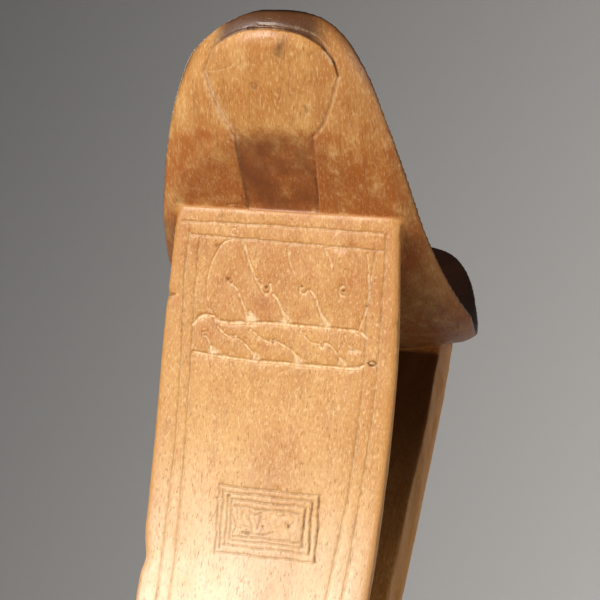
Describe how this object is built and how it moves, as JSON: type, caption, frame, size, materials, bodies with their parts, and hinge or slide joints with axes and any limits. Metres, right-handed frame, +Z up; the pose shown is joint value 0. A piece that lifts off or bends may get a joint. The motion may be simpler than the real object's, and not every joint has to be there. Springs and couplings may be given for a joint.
{
  "type": "headrest",
  "caption": "Carved wooden headrest: a thin crescent with rounded tongue ends on two flat waisted legs that join in one low foot, with incised borders and interlace.",
  "frame": {"origin": "under the middle of the foot, on the surface that the headrest stands on", "axes": "+Z up, +Y along the crescent towards its rear tongue, +X across it to the right as seen from the front tongue"},
  "size_m": [0.0834, 0.1666, 0.1826],
  "materials": {
    "wood": "hand-polished fine-grained wood, golden brown, darkened by handling on the edges"
  },
  "bodies": {
    "root": {"headrest": "wood"}
  },
  "joints": []
}
